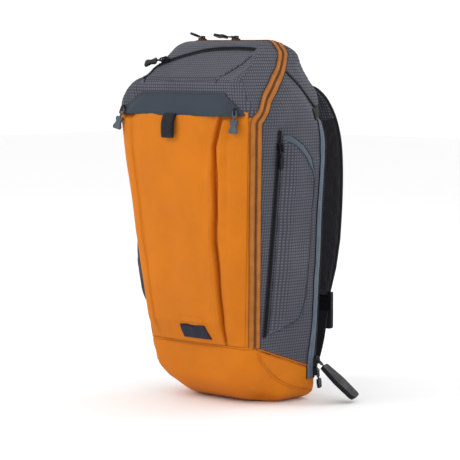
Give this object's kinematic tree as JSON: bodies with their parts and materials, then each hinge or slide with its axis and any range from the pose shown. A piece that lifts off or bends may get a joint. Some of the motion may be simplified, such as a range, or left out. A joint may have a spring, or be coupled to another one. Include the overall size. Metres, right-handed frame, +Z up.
{
  "type": "hiking daypack",
  "caption": "Upright panel-loading daypack with a fold-down front, zipped pockets, stretch bottle pocket, padded harness, cord pulls and a chest buckle.",
  "frame": {"origin": "middle of the bag in plan, on the floor under the flat stretch of the base", "axes": "+X the right side seen from the front, +Y towards the wearer's back, +Z up the bag"},
  "size_m": [0.3451, 0.2867, 0.5736],
  "materials": {
    "orange_coated": "coated weave",
    "grey_ripstop": "ripstop weave",
    "lining": "smooth lining",
    "slate_coated": "coated",
    "orange_tape": "woven zipper tape",
    "slate_tape": "woven zipper tape",
    "black_tape": "woven zipper tape",
    "black_stretch": "stretch knit",
    "frame_plastic": "matte sheet",
    "black_mesh": "spacer mesh",
    "strap_fabric": "ripstop over foam",
    "orange_webbing": "woven webbing",
    "black_webbing": "woven webbing",
    "black_plastic": "moulded",
    "slate_plastic": "moulded"
  },
  "bodies": {
    "pack": {"back_pad_left": "black_mesh", "back_pad_right": "black_mesh", "back_wall": "grey_ripstop", "base_boot": "orange_coated", "bottle_pocket": "black_stretch", "frame_sheet": "frame_plastic", "harness_yoke": "strap_fabric", "laptop_sleeve": "lining", "lower_webbing_left": "black_webbing", "lower_webbing_right": "black_webbing", "lumbar_pad": "black_mesh", "main_zip_tape_body": "orange_tape", "rear_stop_slider": "black_plastic", "rear_zip_tape_right": "slate_tape", "side_panel_left": "grey_ripstop", "side_panel_right": "grey_ripstop", "side_pocket": "slate_coated", "side_tab_left": "black_webbing", "side_tab_right": "black_webbing", "side_zip_tape_left": "black_tape", "side_zip_tape_right": "black_tape", "sloping_top_rear": "grey_ripstop"},
    "clamshell": {"clamshell_inner_face": "lining", "hood": "grey_ripstop", "yoke_patch": "slate_coated", "front_pocket": "orange_coated", "top_tab": "black_webbing", "bottom_tab": "slate_coated", "main_zip_tape_front": "orange_tape", "top_zip_tape": "black_tape", "toggle_right_staple": "black_plastic", "toggle_left_staple": "black_plastic"},
    "main_zip_slider_right": {"main_zip_right_slider": "black_plastic"},
    "main_zip_pull_right": {"main_zip_right_pull": "slate_plastic"},
    "main_zip_slider_left": {"main_zip_left_slider": "black_plastic"},
    "main_zip_pull_left": {"main_zip_left_pull": "black_plastic"},
    "top_zip_slider": {"top_zip_slider": "black_plastic"},
    "top_zip_pull": {"top_zip_pull": "black_plastic"},
    "side_zip_slider_right": {"side_zip_right_slider": "black_plastic"},
    "side_zip_pull_right": {"side_zip_right_pull": "black_plastic"},
    "side_zip_slider_left": {"side_zip_left_slider": "black_plastic"},
    "side_zip_pull_left": {"side_zip_left_pull": "black_plastic"},
    "rear_zip_slider": {"rear_zip_slider": "black_plastic"},
    "rear_handle": {"rear_handle": "black_plastic"},
    "rear_stop_pull": {"rear_stop_pull": "slate_plastic"},
    "toggle_right": {"toggle_right": "slate_plastic"},
    "toggle_left": {"toggle_left": "slate_plastic"},
    "harness": {"strap_right": "strap_fabric", "strap_left": "strap_fabric", "strap_webbing_right": "orange_webbing", "strap_webbing_left": "orange_webbing"},
    "ladder_lock_right": {"ladder_lock_right": "slate_plastic", "web_keeper_right": "black_webbing"},
    "ladder_lock_left": {"ladder_lock_left": "slate_plastic", "web_keeper_left": "black_webbing"},
    "chest_strap": {"chest_strap_right": "orange_webbing", "chest_strap_left": "orange_webbing", "buckle_female": "black_plastic"},
    "chest_buckle_male": {"buckle_male": "black_plastic"},
    "haul_loop": {"haul_loop": "black_webbing"}
  },
  "joints": [
    {"name": "clamshell_fold", "type": "hinge", "parent": "pack", "child": "clamshell", "pos_m": [0, -0.066, 0.091], "axis": [1, 0, 0], "range_deg": [0, 95]},
    {"name": "main_zip_right_slide", "type": "slide", "parent": "pack", "child": "main_zip_slider_right", "axis": [1, 0, 0], "range_m": [0, 0.066]},
    {"name": "main_zip_right_pull_swing", "type": "hinge", "parent": "main_zip_slider_right", "child": "main_zip_pull_right", "pos_m": [0.006, 0.01987, 0.56453], "axis": [0, 0.9575, -0.2886], "range_deg": [-2, 150]},
    {"name": "main_zip_left_slide", "type": "slide", "parent": "pack", "child": "main_zip_slider_left", "axis": [1, 0, 0], "range_m": [-0.006, 0.014]},
    {"name": "main_zip_left_pull_swing", "type": "hinge", "parent": "main_zip_slider_left", "child": "main_zip_pull_left", "pos_m": [-0.066, 0.01987, 0.56453], "axis": [0, 0.9575, -0.2886], "range_deg": [-10, 130]},
    {"name": "top_zip_slide", "type": "hinge", "parent": "clamshell", "child": "top_zip_slider", "pos_m": [0.059, -0.20796, 0.41835], "axis": [0, -0.6019, 0.7986], "range_deg": [-40, 7]},
    {"name": "top_zip_pull_swing", "type": "hinge", "parent": "top_zip_slider", "child": "top_zip_pull", "pos_m": [-0.06067, -0.07164, 0.53224], "axis": [-0.5592, 0.6621, 0.499], "range_deg": [0, 150]},
    {"name": "side_zip_right_slide", "type": "slide", "parent": "pack", "child": "side_zip_slider_right", "axis": [0.088, -0.0008, 0.9961], "range_m": [-0.27, 0.012]},
    {"name": "side_zip_right_pull_swing", "type": "hinge", "parent": "side_zip_slider_right", "child": "side_zip_pull_right", "pos_m": [0.14776, -0.03208, 0.39922], "axis": [-0.0094, -1, 0], "range_deg": [-2, 150]},
    {"name": "side_zip_left_slide", "type": "slide", "parent": "pack", "child": "side_zip_slider_left", "axis": [-0.088, -0.0008, 0.9961], "range_m": [-0.07, 0.012]},
    {"name": "side_zip_left_pull_swing", "type": "hinge", "parent": "side_zip_slider_left", "child": "side_zip_pull_left", "pos_m": [-0.14776, -0.03208, 0.39922], "axis": [-0.0094, 1, 0], "range_deg": [-2, 150]},
    {"name": "rear_zip_slide", "type": "slide", "parent": "pack", "child": "rear_zip_slider", "axis": [0.0516, 0.0192, 0.9985], "range_m": [0, 0.33]},
    {"name": "rear_handle_swing", "type": "hinge", "parent": "rear_zip_slider", "child": "rear_handle", "pos_m": [0.12697, 0.0781, 0.06151], "axis": [0.3486, -0.9373, 0], "range_deg": [-4, 95]},
    {"name": "rear_stop_pull_swing", "type": "hinge", "parent": "pack", "child": "rear_stop_pull", "pos_m": [0.12596, 0.0781, 0.04451], "axis": [0.3489, -0.9372, 0], "range_deg": [-5, 60]},
    {"name": "toggle_right_swing", "type": "hinge", "parent": "clamshell", "child": "toggle_right", "pos_m": [0.118, -0.10409, 0.45429], "axis": [-1, 0, 0], "range_deg": [-2, 100]},
    {"name": "toggle_left_swing", "type": "hinge", "parent": "clamshell", "child": "toggle_left", "pos_m": [-0.121, -0.10409, 0.45429], "axis": [-1, 0, 0], "range_deg": [-2, 100]},
    {"name": "harness_swing", "type": "hinge", "parent": "pack", "child": "harness", "pos_m": [0, 0.1, 0.486], "axis": [1, 0, 0], "range_deg": [0, 15]},
    {"name": "ladder_lock_right_tilt", "type": "hinge", "parent": "harness", "child": "ladder_lock_right", "pos_m": [0.085, 0.1405, 0.16], "axis": [1, 0, 0], "range_deg": [-3, 18]},
    {"name": "ladder_lock_left_tilt", "type": "hinge", "parent": "harness", "child": "ladder_lock_left", "pos_m": [-0.085, 0.1405, 0.16], "axis": [1, 0, 0], "range_deg": [-3, 18]},
    {"name": "chest_strap_height", "type": "slide", "parent": "harness", "child": "chest_strap", "axis": [0, 0.0222, -0.9998], "range_m": [0, 0.035]},
    {"name": "chest_buckle_release", "type": "slide", "parent": "chest_strap", "child": "chest_buckle_male", "axis": [-1, 0, 0], "range_m": [0, 0.012]},
    {"name": "haul_loop_tilt", "type": "hinge", "parent": "pack", "child": "haul_loop", "pos_m": [0, 0.103, 0.502], "axis": [1, 0, 0], "range_deg": [-20, 30]}
  ]
}
